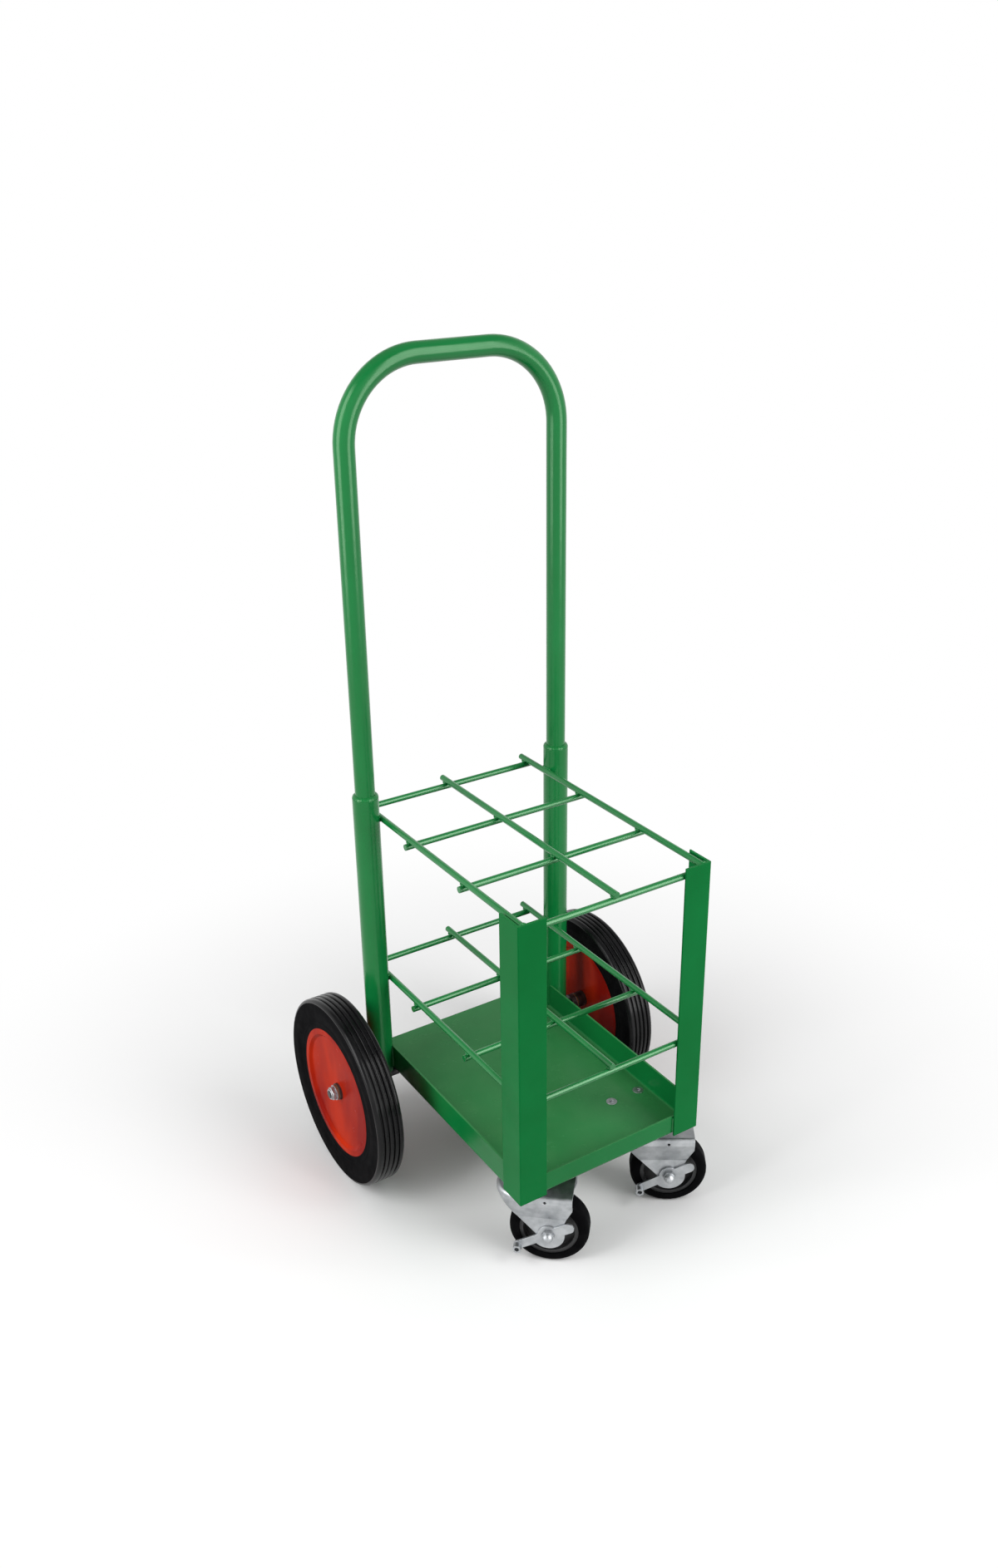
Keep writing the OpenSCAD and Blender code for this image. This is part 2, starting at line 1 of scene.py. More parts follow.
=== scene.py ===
# %% [markdown]
# Gas cylinder trolley: a welded steel frame with six square cells over a low tray, a tall tube handle,
# two big wheels and two casters with brakes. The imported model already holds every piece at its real
# size, so this lesson only dresses it: a studio, the finishes, and the small things that a maker adds
# last, such as weld beads, bevels and soft ribs. Every coordinate is in metres, +Z is up and the front
# of the trolley looks along -Y.

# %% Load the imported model
import json
import math

import bmesh
import bpy
from mathutils import Matrix, Vector


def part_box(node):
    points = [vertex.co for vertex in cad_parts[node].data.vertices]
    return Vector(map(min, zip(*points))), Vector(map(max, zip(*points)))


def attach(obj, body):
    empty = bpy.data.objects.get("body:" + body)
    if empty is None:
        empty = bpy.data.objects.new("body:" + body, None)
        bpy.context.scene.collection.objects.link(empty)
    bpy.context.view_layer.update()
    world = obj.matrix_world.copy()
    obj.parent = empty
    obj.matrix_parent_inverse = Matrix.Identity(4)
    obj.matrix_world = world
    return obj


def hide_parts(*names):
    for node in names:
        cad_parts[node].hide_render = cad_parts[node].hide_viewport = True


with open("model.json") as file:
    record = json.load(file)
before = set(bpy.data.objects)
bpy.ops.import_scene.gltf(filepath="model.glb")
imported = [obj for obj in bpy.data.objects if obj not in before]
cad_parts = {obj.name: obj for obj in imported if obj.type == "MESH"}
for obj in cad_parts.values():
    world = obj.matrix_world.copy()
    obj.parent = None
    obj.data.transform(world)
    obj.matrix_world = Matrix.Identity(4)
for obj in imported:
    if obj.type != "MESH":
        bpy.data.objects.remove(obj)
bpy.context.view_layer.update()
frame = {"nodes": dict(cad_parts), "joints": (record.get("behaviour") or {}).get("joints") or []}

MM = 0.001
nodes = frame["nodes"]
print("pieces in the frame:", len(nodes))

# %% [markdown]
# The camera stands to the front left, a little above the grip, as a person would who has just
# parked the trolley. It could be placed by eye, but its place was worked out from the straight rods,
# which run in three square directions, so their vanishing points give the tilt and the lens. The
# picture is taken upright, so the sensor is fitted to the height, and the lens follows from the focal
# length in pixels.

# %% Camera
IMAGE_H = 1886
FOCAL_PX = 1637.2
SENSOR_H = 36.0
EYE = Vector((-0.826, -1.2922, 1.2783))
YAW = math.radians(32.13)
PITCH = math.radians(-24.68)
ROLL = math.radians(-0.92)

lens = bpy.data.cameras.new("studio_lens")
lens.sensor_fit = "VERTICAL"
lens.sensor_height = SENSOR_H
lens.lens = FOCAL_PX * SENSOR_H / IMAGE_H
camera = bpy.data.objects.new("studio_camera", lens)
bpy.context.scene.collection.objects.link(camera)
heading = Matrix.Rotation(-YAW, 4, "Z")
tilt = Matrix.Rotation(math.pi / 2 + PITCH, 4, "X")
camera.matrix_world = Matrix.Translation(EYE) @ heading @ tilt @ Matrix.Rotation(ROLL, 4, "Z")
bpy.context.scene.camera = camera
bpy.context.scene.view_settings.view_transform = "Standard"
print("lens in millimetres:", round(lens.lens, 2))

# %% [markdown]
# In Blender a finish, and the air around the object, is a tree of nodes. It could be wired by hand in
# the shader editor; written as code it can be read and repeated, and a few short helpers keep it
# readable. The last one tells what is seen directly, or in a reflection, from what only lights.

# %% Helpers for node trees
def add_node(tree, kind, values=None, **settings):
    """A new shader node with its settings and its input values."""
    node = tree.nodes.new(kind)
    for name, value in settings.items():
        setattr(node, name, value)
    for name, value in (values or {}).items():
        node.inputs[name].default_value = value
    return node


def link(tree, source, target):
    """Joins an output socket to an input socket."""
    tree.links.new(source, target)


def seen_directly(tree):
    """1 for rays from the camera, from gloss and through glass, otherwise 0."""
    path = add_node(tree, "ShaderNodeLightPath")
    either = add_node(tree, "ShaderNodeMath", operation="MAXIMUM")
    any_of = add_node(tree, "ShaderNodeMath", operation="MAXIMUM")
    link(tree, path.outputs["Is Camera Ray"], either.inputs[0])
    link(tree, path.outputs["Is Glossy Ray"], either.inputs[1])
    link(tree, either.outputs[0], any_of.inputs[0])
    link(tree, path.outputs["Is Transmission Ray"], any_of.inputs[1])
    return any_of.outputs[0]


# %% [markdown]
# A studio floor is one pale sheet. It could be a paper swept up behind the object, but a flat round
# sheet is simpler and looks the same from every side. Close to the trolley it is plain white that
# takes the shadow, and further out it fades into the same white as the background, so no horizon line
# shows. The fade only applies to what the camera and the reflections see; the light on the trolley
# stays plain. From below the sheet is clear, so the casters and the axle can be looked at from there.

# %% Floor sheet
FLOOR_R = 12.0
FLOOR_SIDES = 96

floor_mesh = bpy.data.meshes.new("studio_floor")
sheet = bmesh.new()
bmesh.ops.create_circle(sheet, cap_ends=True, segments=FLOOR_SIDES, radius=FLOOR_R)
sheet.to_mesh(floor_mesh)
sheet.free()
floor = bpy.data.objects.new("studio_floor", floor_mesh)
bpy.context.scene.collection.objects.link(floor)
print("floor radius in metres:", FLOOR_R)

# %% Studio paper, its two shades
PAPER_AS_SEEN = 0.96
PAPER_AS_LIGHT = 0.22
PAPER_ROUGH = 0.9

paper = bpy.data.materials.new("studio_paper")
paper.use_nodes = True
tree = paper.node_tree
seen = seen_directly(tree)
plain_paper = tree.nodes["Principled BSDF"]
plain_paper.inputs["Roughness"].default_value = PAPER_ROUGH
plain_paper.inputs["Specular IOR Level"].default_value = 0.0
shade = add_node(tree, "ShaderNodeMapRange", {"To Min": PAPER_AS_LIGHT, "To Max": PAPER_AS_SEEN})
link(tree, seen, shade.inputs["Value"])
link(tree, shade.outputs["Result"], plain_paper.inputs["Base Color"])
floor_mesh.materials.append(paper)
print("paper as seen and as a source of light:", PAPER_AS_SEEN, PAPER_AS_LIGHT)

# %% Studio paper, its fade into the background
FADE_FROM = 0.25
FADE_TO = 1.0
WHITE = (1, 1, 1, 1)

place = add_node(tree, "ShaderNodeTexCoord")
distance = add_node(tree, "ShaderNodeVectorMath", operation="LENGTH")
fade = add_node(tree, "ShaderNodeMapRange", {"From Min": FADE_FROM, "From Max": FADE_TO},
                interpolation_type="SMOOTHSTEP")
only_seen = add_node(tree, "ShaderNodeMath", operation="MULTIPLY")
glow = add_node(tree, "ShaderNodeEmission", {"Color": WHITE, "Strength": 1.0})
faded_paper = add_node(tree, "ShaderNodeMixShader")
link(tree, place.outputs["Object"], distance.inputs[0])
link(tree, distance.outputs["Value"], fade.inputs["Value"])
link(tree, fade.outputs["Result"], only_seen.inputs[0])
link(tree, seen, only_seen.inputs[1])
link(tree, only_seen.outputs[0], faded_paper.inputs["Fac"])
link(tree, plain_paper.outputs["BSDF"], faded_paper.inputs[1])
link(tree, glow.outputs["Emission"], faded_paper.inputs[2])
print("paper fades out between", FADE_FROM, "and", FADE_TO, "metres from the middle")

# %% Studio paper, clear from below
clear = add_node(tree, "ShaderNodeBsdfTransparent")
geometry = add_node(tree, "ShaderNodeNewGeometry")
one_way = add_node(tree, "ShaderNodeMixShader")
link(tree, geometry.outputs["Backfacing"], one_way.inputs["Fac"])
link(tree, faded_paper.outputs["Shader"], one_way.inputs[1])
link(tree, clear.outputs["BSDF"], one_way.inputs[2])
link(tree, one_way.outputs["Shader"], tree.nodes["Material Output"].inputs["Surface"])
print("nodes in the paper:", len(tree.nodes))

# %% [markdown]
# The air is seen as white around the horizon and dimmer towards the top, like a studio with pale
# walls and a dark ceiling. As a source of light it is weak, and a little stronger from above, so the
# lamps shape the trolley. A photographed room could do this too, but it would bring its own windows
# and colours into every reflection.

# %% Studio air
SOFT_LIGHT = (0.05, 0.55)
WALL_TO_CEILING = (0.4, 0.8)
WALL_WHITE = 1.0
CEILING_GREY = 0.25

world = bpy.data.worlds.new("studio_air")
bpy.context.scene.world = world
world.use_nodes = True
tree = world.node_tree
air = tree.nodes["Background"]
air.inputs["Color"].default_value = WHITE
ways = add_node(tree, "ShaderNodeTexCoord")
height = add_node(tree, "ShaderNodeSeparateXYZ")
room = {"From Min": WALL_TO_CEILING[0], "From Max": WALL_TO_CEILING[1],
        "To Min": WALL_WHITE, "To Max": CEILING_GREY}
as_seen = add_node(tree, "ShaderNodeMapRange", room, interpolation_type="SMOOTHSTEP")
as_light = add_node(tree, "ShaderNodeMapRange", {"To Min": SOFT_LIGHT[0], "To Max": SOFT_LIGHT[1]})
strength = add_node(tree, "ShaderNodeMix", data_type="FLOAT")
link(tree, ways.outputs["Generated"], height.inputs["Vector"])
link(tree, height.outputs["Z"], as_seen.inputs["Value"])
link(tree, height.outputs["Z"], as_light.inputs["Value"])
link(tree, seen_directly(tree), strength.inputs["Factor"])
link(tree, as_light.outputs["Result"], strength.inputs["A"])
link(tree, as_seen.outputs["Result"], strength.inputs["B"])
link(tree, strength.outputs["Result"], air.inputs["Strength"])
print("light of the air from the side and from above:", SOFT_LIGHT)

# %% [markdown]
# Two tall soft boxes light the trolley, one from the left side and one from the front right. Many
# small lamps could do it too, but each would leave its own spot in the gloss. Both boxes stand close to
# the floor and reach above the grip, so each draws one bright line down the upper legs of the handle.
# The front one also draws the lines along the cross rods, and the left one lights the big wheel and
# throws its shadow on the frame behind it. With the floor's glow they add up to a plain level, at which
# a paint looks about as its colour is written.

# %% Lamps
BOX_W = 1.2
BOX_H = 2.6
BOX_Z = 1.4
BOX_WATTS = 45
LEFT_BOX_AT = Vector((-2.0, 0.07, BOX_Z))
FRONT_BOX_AT = Vector((0.84, -1.82, BOX_Z))
AIM = Vector((0.0, 0.0, 0.75))


def soft_box(name, place):
    """A rectangular lamp at a place, turned to look at the trolley."""
    lamp = bpy.data.lights.new(name, "AREA")
    lamp.shape = "RECTANGLE"
    lamp.size = BOX_W
    lamp.size_y = BOX_H
    lamp.energy = BOX_WATTS
    box = bpy.data.objects.new(name, lamp)
    bpy.context.scene.collection.objects.link(box)
    box.visible_camera = False
    look = (AIM - place).to_track_quat("-Z", "Y")
    box.matrix_world = Matrix.Translation(place) @ look.to_matrix().to_4x4()


soft_box("soft_box_left", LEFT_BOX_AT)
soft_box("soft_box_front", FRONT_BOX_AT)
print("lamps:", [lamp.name for lamp in bpy.data.lights])

# %% [markdown]
# Every finish here starts from the same few building blocks. Object coordinates are metres on the
# trolley, because each piece keeps its place in its mesh, so a noise of scale 400 has grains of
# about two and a half millimetres. One noise drifts the colour, one drifts the gloss, and a fine
# one becomes bump. Painted pictures could do the same, but a noise stays sharp from any distance. No
# real edge is as sharp as a drawn one, so every finish also rounds the edges a little, which makes
# them catch light.

# %% Helpers for finishes: a material and its noise
NOISE_ROUGH = 0.55


def new_finish(name, **values):
    """A material, its tree and its main shader, which has the given constant values."""
    material = bpy.data.materials.new(name)
    material.use_nodes = True
    tree = material.node_tree
    shader = tree.nodes["Principled BSDF"]
    for socket, value in values.items():
        shader.inputs[socket.replace("_", " ")].default_value = value
    return material, tree, shader


def noise(tree, scale, detail, stretch=(1, 1, 1)):
    """Soft random values from 0 to 1; stretch lengthens the grains along an axis."""
    place = add_node(tree, "ShaderNodeTexCoord")
    fit = add_node(tree, "ShaderNodeMapping", {"Scale": [1 / s for s in stretch]})
    kind = {"Scale": scale, "Detail": detail, "Roughness": NOISE_ROUGH}
    cloud = add_node(tree, "ShaderNodeTexNoise", kind)
    link(tree, place.outputs["Object"], fit.inputs["Vector"])
    link(tree, fit.outputs["Vector"], cloud.inputs["Vector"])
    return cloud.outputs["Fac"]


def remap(tree, value, source, target):
    """A value moved from one range to another and kept inside it."""
    ranges = {"From Min": source[0], "From Max": source[1], "To Min": target[0], "To Max": target[1]}
    node = add_node(tree, "ShaderNodeMapRange", ranges)
    link(tree, value, node.inputs["Value"])
    return node.outputs["Result"]


# %% Helpers for finishes: colours, bump and edges
EDGE_SAMPLES = 6


def mix_colour(tree, share, first, second):
    """A colour between two; each is an output socket or red, green and blue."""
    node = add_node(tree, "ShaderNodeMix", data_type="RGBA")
    link(tree, share, node.inputs["Factor"])
    for name, colour in (("A", first), ("B", second)):
        socket = next(s for s in node.inputs if s.name == name and s.type == "RGBA")
        if isinstance(colour, tuple):
            socket.default_value = (*colour, 1)
        else:
            link(tree, colour, socket)
    return next(s for s in node.outputs if s.type == "RGBA")


def bump(tree, height, depth, under):
    """A bump of a depth in metres, laid over another direction of the surface."""
    node = add_node(tree, "ShaderNodeBump", {"Strength": 1.0, "Distance": depth})
    link(tree, height, node.inputs["Height"])
    link(tree, under, node.inputs["Normal"])
    return node.outputs["Normal"]


def soft_edges(tree, radius):
    """The surface's direction with its sharp edges rounded to a radius in metres."""
    edge = add_node(tree, "ShaderNodeBevel", {"Radius": radius}, samples=EDGE_SAMPLES)
    return edge.outputs["Normal"]


# %% Helpers for finishes: clouds of two colours
CLOUDS_SPREAD = (0.35, 0.65)
GLOSS_SPREAD = (0.3, 0.7)


def cloudy_finish(name, first, second, clouds, rough, gloss, grain, depth, edge,
                  spread=CLOUDS_SPREAD, most=1, **values):
    """Clouds of two colours, an uneven gloss and a fine grain on rounded edges. clouds, gloss and grain
    are settings for noise, spread is the part of the clouds that is used, and most is the largest share
    of the second colour."""
    material, tree, shader = new_finish(name, **values)
    share = remap(tree, noise(tree, *clouds), spread, (0, most))
    link(tree, mix_colour(tree, share, first, second), shader.inputs["Base Color"])
    link(tree, remap(tree, noise(tree, *gloss), GLOSS_SPREAD, rough), shader.inputs["Roughness"])
    fine = bump(tree, noise(tree, *grain), depth, soft_edges(tree, edge))
    link(tree, fine, shader.inputs["Normal"])
    print("finish:", name)
    return material


# %% [markdown]
# The frame is sprayed with one coat of gloss enamel, straight over hot-rolled steel. Such a coat is
# never quite even: the green drifts a little, the surface has the fine orange peel of a spray gun
# over the slow waves of the steel, and what looks up keeps a film of dust that dulls the gloss. That
# film is painted as a paler, brighter green, partly dust and partly painted light from above. One
# flat green would look like plastic, so each of these has its own noise. The same paint shines
# differently on different steel, so how much it shines is left open here.

# %% Green enamel: where dust and painted top light lie
TURNED_UP = (0.55, 0.95)


def facing_up(tree):
    """1 on surfaces that look straight up, 0 on upright ones and undersides."""
    geometry = add_node(tree, "ShaderNodeNewGeometry")
    split = add_node(tree, "ShaderNodeSeparateXYZ")
    link(tree, geometry.outputs["Normal"], split.inputs["Vector"])
    return remap(tree, split.outputs["Z"], TURNED_UP, (0, 1))


def combine(tree, operation, first, second):
    """One arithmetic step; the second side is an output socket or a number."""
    node = add_node(tree, "ShaderNodeMath", operation=operation, use_clamp=True)
    link(tree, first, node.inputs[0])
    if isinstance(second, float):
        node.inputs[1].default_value = second
    else:
        link(tree, second, node.inputs[1])
    return node.outputs[0]


# %% Green enamel
GREEN_DEEP = (0.0035, 0.168, 0.036)
GREEN_PALE = (0.0050, 0.200, 0.046)
# Paler green on what faces up: partly dust, partly painted light from above
GREEN_DUST_AND_TOP_LIGHT = (0.150, 0.340, 0.150)
GREEN_GLINT = (0.7, 1.0, 0.72, 1)
# Each drift, patch, wave and peel is the scale and the detail of a noise
COLOUR_DRIFT = (7, 4)
DUST_AND_TOP_LIGHT_PATCHES = (16, 5)
DUST_AND_TOP_LIGHT_SPREAD = (0.32, 0.68)
DUST_DULLS = 0.15
GLOSS_DRIFT = (55, 3)
SPRAYED_ROUGH = (0.17, 0.25)
STEEL_WAVES = (38, 2)
WAVES_DEEP = 0.18 * MM
ORANGE_PEEL = (420, 2)
PEEL_DEEP = 0.012 * MM
SPRAYED_EDGE = 0.9 * MM


def green_enamel(name, shine, film=(0.0, 0.10)):
    """Sprayed enamel; shine is how much it reflects, film the least and largest share of dust and painted
    top light.
    """
    material, tree, shader = new_finish(name, Specular_IOR_Level=shine, Specular_Tint=GREEN_GLINT)
    drift = remap(tree, noise(tree, *COLOUR_DRIFT), CLOUDS_SPREAD, (0, 1))
    paint = mix_colour(tree, drift, GREEN_DEEP, GREEN_PALE)
    patches = remap(tree, noise(tree, *DUST_AND_TOP_LIGHT_PATCHES), DUST_AND_TOP_LIGHT_SPREAD, film)
    # Share of the paler green on what faces up: dust in patches, and painted light from above
    dust = combine(tree, "MULTIPLY", facing_up(tree), patches)
    link(tree, mix_colour(tree, dust, paint, GREEN_DUST_AND_TOP_LIGHT), shader.inputs["Base Color"])
    gloss = remap(tree, noise(tree, *GLOSS_DRIFT), GLOSS_SPREAD, SPRAYED_ROUGH)
    dulled = combine(tree, "ADD", gloss, combine(tree, "MULTIPLY", dust, DUST_DULLS))
    link(tree, dulled, shader.inputs["Roughness"])
    waves = bump(tree, noise(tree, *STEEL_WAVES), WAVES_DEEP, soft_edges(tree, SPRAYED_EDGE))
    peel = bump(tree, noise(tree, *ORANGE_PEEL), PEEL_DEEP, waves)
    link(tree, peel, shader.inputs["Normal"])
    print("finish:", name)
    return material


finishes = {"green_paint": green_enamel("green_enamel", shine=0.48)}

# %% [markdown]
# The wheel discs are pressed from thin sheet and dipped in red enamel before the two halves are
# joined. A dip is smoother than a spray, so it has long soft runs, a little darker where the paint ran
# thick, and hardly any peel. The runs are a noise drawn out along the upright axis.

# %% Red enamel
finishes["red_paint"] = cloudy_finish(
    "red_enamel", first=(0.56, 0.030, 0.007), second=(0.30, 0.010, 0.006),
    clouds=(11, 3, (1, 1, 2.5)), spread=(0.38, 0.62), rough=(0.16, 0.28), gloss=(70, 4),
    grain=(30, 2), depth=0.5 * MM, edge=0.8 * MM,
    Specular_IOR_Level=0.015, Specular_Tint=(1.0, 0.6, 0.5, 1))

# %% [markdown]
# Casters, bolts, nuts and washers are zinc plated. Fresh zinc is a cool grey with cloudy patches,
# where the plating grew in larger or smaller crystals, and a very fine satin grain from the barrel
# in which the pieces tumbled. It is a bare metal, so its colour is that of its reflections.

# %% Zinc plate
finishes["zinc"] = cloudy_finish(
    "zinc_plate", first=(0.36, 0.375, 0.39), second=(0.52, 0.535, 0.55),
    clouds=(60, 5), rough=(0.36, 0.54), gloss=(140, 4),
    grain=(1500, 2), depth=0.02 * MM, edge=0.5 * MM, Metallic=1.0)

# %% [markdown]
# The hubs, the axle and its collars are plain turned steel, left black from the mill and lightly
# oiled. The black scale isn't quite a metal any more, and the oil makes its gloss uneven.

# %% Hub steel
finishes["hub_steel"] = cloudy_finish(
    "hub_steel", first=(0.045, 0.045, 0.048), second=(0.12, 0.115, 0.11),
    clouds=(90, 5), rough=(0.32, 0.55), gloss=(45, 3),
    grain=(700, 2), depth=0.03 * MM, edge=0.5 * MM, Metallic=0.8)

# %% [markdown]
# Each hub turns on two flanged bushes of oil-soaked bronze. Sintered bronze is a dull gold with
# tiny pores, which hold the oil and break up the gloss. The pores are too small to model, so they
# are the finest bump of all the finishes.

# %% Bush bronze
finishes["bush_bronze"] = cloudy_finish(
    "bush_bronze_oiled", first=(0.42, 0.27, 0.11), second=(0.25, 0.15, 0.06),
    clouds=(110, 4), rough=(0.34, 0.55), gloss=(260, 3),
    grain=(2200, 2), depth=0.03 * MM, edge=0.4 * MM, Metallic=1.0)

# %% [markdown]
# The tyres are moulded from solid black rubber. New rubber has a faint bluish sheen, a fine pebble
# from the mould, and a grey film of dust. The tread is rolled smoother than the flanks, so it shines
# more and shows grey scuffs along the way it rolls, and it gets a finish of its own. The caster wheels
# are a harder rubber, a little smoother than the flanks.

# %% Black rubber
RUBBER = (0.0035, 0.0035, 0.0040)
RUBBER_DUSTY = (0.030, 0.029, 0.031)
FILM_SPREAD = (0.42, 0.75)
SCUFFS = (1, 3, 3)


def black_rubber(name, shine, rough, film, stretch=(1, 1, 1)):
    """Moulded rubber; shine is how much it reflects, and film the largest share of dust, whose patches
    stretch draws out."""
    return cloudy_finish(
        name, first=RUBBER, second=RUBBER_DUSTY, clouds=(60, 6, stretch), spread=FILM_SPREAD, most=film,
        rough=rough, gloss=(85, 4), grain=(1100, 3), depth=0.012 * MM, edge=0.8 * MM,
        Specular_IOR_Level=shine)


finishes["tyre_rubber"] = black_rubber("tyre_rubber_black", shine=0.012, rough=(0.58, 0.70), film=0.15)
finishes["caster_rubber"] = black_rubber("caster_rubber_black", shine=0.012, rough=(0.45, 0.58), film=0.15)
tread_finish = black_rubber("tyre_tread_black", shine=0.20, rough=(0.18, 0.28), film=0.4, stretch=SCUFFS)

# %% [markdown]
# The cores of the caster wheels are a dark moulded plastic. It is a little paler than the rubber
# around it and shines more, which is enough to tell the two apart.

# %% Core plastic
finishes["core_plastic"] = cloudy_finish(
    "core_plastic", first=(0.014, 0.014, 0.015), second=(0.030, 0.030, 0.032),
    clouds=(50, 4), rough=(0.38, 0.52), gloss=(120, 3),
    grain=(900, 2), depth=0.03 * MM, edge=0.7 * MM)

# %% [markdown]
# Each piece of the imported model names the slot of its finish, so one loop dresses them all. The green
# then changes with the steel under it: the paint shines most on the smooth drawn rods, a little less
# on the tube, less on the tray, which is rubbed dull in use, and least on the posts, with rolling
# scale under it. One paint with four degrees of shine is simpler than four paints.

# %% Finishes put on the pieces of the frame
for piece in nodes.values():
    for place in piece.material_slots:
        place.material = finishes[place.material.name]

on_scale = green_enamel("green_enamel_on_scale", shine=0.05)
# The tray's floor gets a larger share of the paler green: partly dust, partly painted light from above
on_tray = green_enamel("green_enamel_on_tray", shine=0.20, film=(0.17, 0.27))
on_rod = green_enamel("green_enamel_on_rod", shine=0.85)
steels = {
    "front_left_post": on_scale,
    "front_right_post": on_scale,
    "tray": on_tray,
    "upper_long_rods": on_rod,
    "upper_cross_rods": on_rod,
    "lower_long_rods": on_rod,
    "lower_cross_rods": on_rod,
}
for name, paint in steels.items():
    nodes[name].material_slots[0].material = paint
print("slots with a finish:", sorted(finishes))

# %% [markdown]
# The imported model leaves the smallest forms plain, and they come now: the soft ribs of the tyres, the
# bevels of nuts and screws, and the weld beads. They could be cut out of blocks, but most of them are
# turned in the real world too. A turned body asks for its outline at every angle, so the outline may
# change on the way round, and that is all that a hexagon or a rippled weld needs. Neighbouring
# outlines are joined with four-sided faces.

# %% Helpers for turned bodies
SAME_POINT = 1e-7
SHARP = math.radians(38)


def turned(shell, outline, place, turns, loop=True):
    """Faces of a body around the z axis of a place; outline(angle) lists its (radius, height) points.
    A loop closes on itself; otherwise the first and the last point lie on the axis."""
    rows = []
    for turn in range(turns):
        angle = 2 * math.pi * turn / turns
        points = [Vector((r * math.cos(angle), r * math.sin(angle), h)) for r, h in outline(angle)]
        rows.append([shell.verts.new(place @ point) for point in points])
    for row, following in zip(rows, rows[1:] + rows[:1]):
        for k in range(len(row) if loop else len(row) - 1):
            n = (k + 1) % len(row)
            shell.faces.new((row[k], row[n], following[n], following[k]))
    if not loop:
        tips = [row[k] for row in rows for k in (0, -1)]
        bmesh.ops.remove_doubles(shell, verts=tips, dist=SAME_POINT)


def finished(name, shell, body, slot, *stands_for):
    """Makes a shell into a piece that rides a body, has a slot's finish and stands for CAD nodes."""
    bmesh.ops.recalc_face_normals(shell, faces=shell.faces)
    mesh = bpy.data.meshes.new(name)
    shell.to_mesh(mesh)
    shell.free()
    mesh.shade_smooth()
    mesh.set_sharp_from_angle(angle=SHARP)
    mesh.materials.append(finishes[slot])
    piece = bpy.data.objects.new(name, mesh)
    bpy.context.scene.collection.objects.link(piece)
    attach(piece, body)
    if stands_for:
        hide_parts(*stands_for)
    print(name, "faces:", len(mesh.polygons))
    return mesh


# %% [markdown]
# The tyre is one ring of solid rubber. Four grooves leave five ribs with soft edges, because rubber
# comes out of a mould with no sharp corners. Grooves could be cut from a plain ring, but then every
# edge would have to be rounded again. As a formula the depth of a groove is a bell curve with a flat
# top, the flank swells from the disc to the tread along a smooth step, and a thin ring stands out
# where the two halves of the mould met beside the disc.

# %% Outline of a tyre
DISC_R = 90 * MM
BEAD_TO = 94 * MM
WIDE_R = 115 * MM
BEAD_IN = 2.5 * MM
SHOULDER = 4.5 * MM
GROOVE = 2.6 * MM
RIB = 7.0 * MM
RING_R = 98.5 * MM
RING_H = 0.5 * MM
FLANK_STEPS = 26
RIB_STEPS = 30
QUARTER_TURN = [math.radians(15 * k) for k in range(7)]


def tyre_flank(half, radius):
    """Half the width of the tyre at a radius between the disc and the shoulder."""
    share = min(1, max(0, (radius - BEAD_TO) / (WIDE_R - BEAD_TO)))
    ring = RING_H * math.exp(-((radius - RING_R) / MM) ** 2)
    return half - BEAD_IN * (1 - share * share * (3 - 2 * share)) + ring


def tyre_tread(outer, across):
    """Radius of the ribbed tread at a distance from the tyre's middle plane."""
    from_groove = abs((across / RIB) % 1 - 0.5) * RIB
    return outer - GROOVE * math.exp(-(2 * from_groove / GROOVE) ** 4)


def tyre_outline(half, outer):
    """(radius, across) points up one flank, over the ribs and down the other flank."""
    flat = half - SHOULDER
    start = outer - SHOULDER
    radii = [DISC_R + (start - DISC_R) * k / FLANK_STEPS for k in range(FLANK_STEPS + 1)]
    side = [(r, tyre_flank(half, r)) for r in radii]
    side += [(start + SHOULDER * math.sin(a), flat + SHOULDER * math.cos(a)) for a in QUARTER_TURN[1:-1]]
    widths = [flat * k / RIB_STEPS for k in range(-RIB_STEPS, RIB_STEPS + 1)]
    ribs = [(tyre_tread(outer, x), x) for x in widths]
    return [(r, -x) for r, x in side] + ribs + side[::-1]


depths = [round(-tyre_tread(0, across) / MM, 2) for across in (0, RIB / 2)]
print("depth on a rib and in a groove, in millimetres:", depths)

# %% Tyres
TYRE_TURNS = 144

for hand in ("left", "right"):
    low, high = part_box(hand + "_tyre")
    middle = (low + high) / 2
    outer = (high.z - low.z) / 2
    outline = tyre_outline((high.x - low.x) / 2, outer)
    shell = bmesh.new()
    place = Matrix.Translation(middle) @ Matrix.Rotation(math.pi / 2, 4, "Y")
    turned(shell, lambda angle: outline, place, TYRE_TURNS)
    mesh = finished(hand + "_ribbed_tyre", shell, hand + "_wheel", "tyre_rubber", hand + "_tyre")
    mesh.materials.append(tread_finish)
    for face in mesh.polygons:
        if (face.center - middle).yz.length > outer - SHOULDER:
            face.material_index = 1

# %% [markdown]
# A hexagon nut is cut from bar and then bevelled in a lathe, so its corners end in small curves, the
# edges of a cone. At an angle where the hexagon reaches further out, the cone cuts further down, which
# gives those curves without any cutting. The axle nuts carry a round collar with a locking ring.

# %% Outline of a nut
# Where the cone meets the end face, as a share of the flat
NUT_BEVEL = 0.96
NUT_CONE = math.radians(30)
NUT_EASE = 0.5 * MM


def hexagon(flat, angle):
    """Distance from the middle of a hexagon to its edge; flat is half its width across flats."""
    return flat / math.cos(angle % (math.pi / 3) - math.pi / 6)


